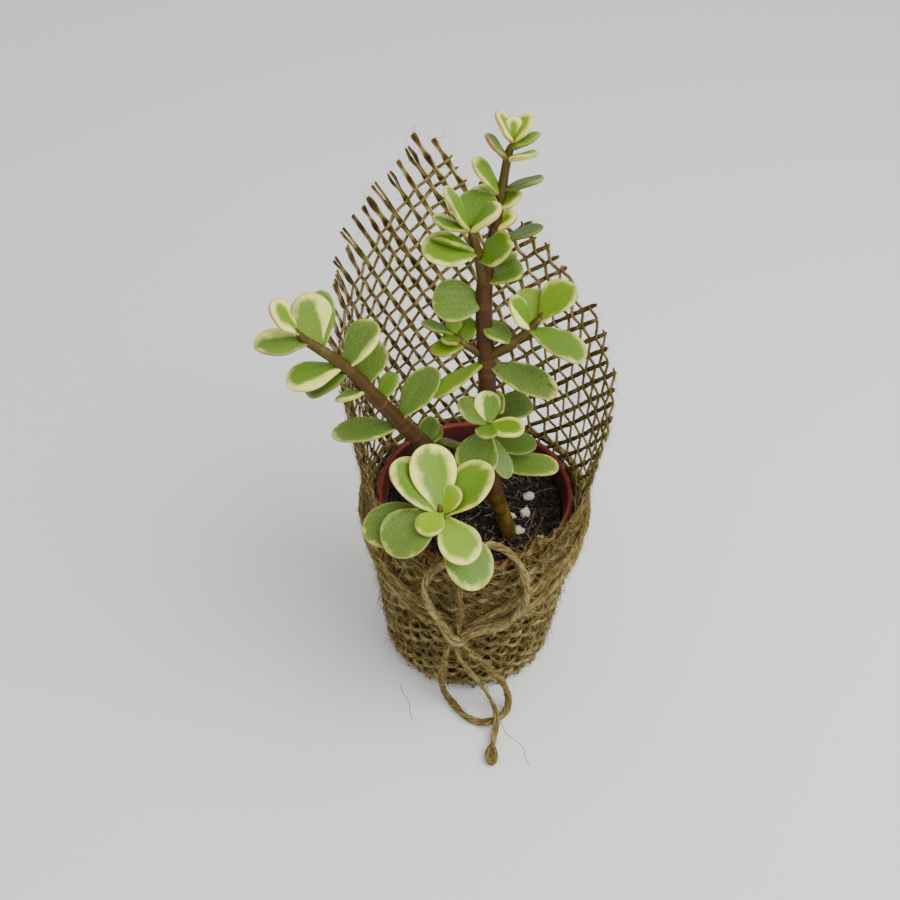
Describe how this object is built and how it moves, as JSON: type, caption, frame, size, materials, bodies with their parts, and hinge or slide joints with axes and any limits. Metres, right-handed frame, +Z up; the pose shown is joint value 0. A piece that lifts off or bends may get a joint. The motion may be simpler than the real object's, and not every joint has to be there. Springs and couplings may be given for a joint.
{
  "type": "potted elephant bush",
  "caption": "Small variegated elephant bush in a plastic nursery pot, wound in open jute net that stands up as a pointed fan behind it, tied with a twine bow.",
  "frame": {"origin": "centre of the pot's underside, on the surface it stands on", "axes": "+Z up, the object's longest extent; -Y towards the bow at the front; +X to the right seen from the front"},
  "size_m": [0.0941, 0.0999, 0.1858],
  "materials": {
    "pot_plastic": "satin, moulded, brick red",
    "soil": "loose, dark, damp potting mix",
    "perlite": "rough, white",
    "plant": "fleshy leaves, green with cream edges and pink tips, on brown stems",
    "jute": "open, hairy net of natural yarn",
    "twine": "two-ply, hairy, natural"
  },
  "bodies": {
    "root": {"pot": "pot_plastic", "soil": "soil", "perlite_1": "perlite", "perlite_2": "perlite", "perlite_3": "perlite", "perlite_4": "perlite", "perlite_5": "perlite", "perlite_6": "perlite", "main_stem": "plant", "left_stem": "plant", "front_shoot": "plant", "jute_wrap": "jute", "twine_turns": "twine", "bow_loop_top": "twine", "bow_loop_low": "twine", "twine_tail": "twine", "tail_knot": "twine"}
  },
  "joints": []
}
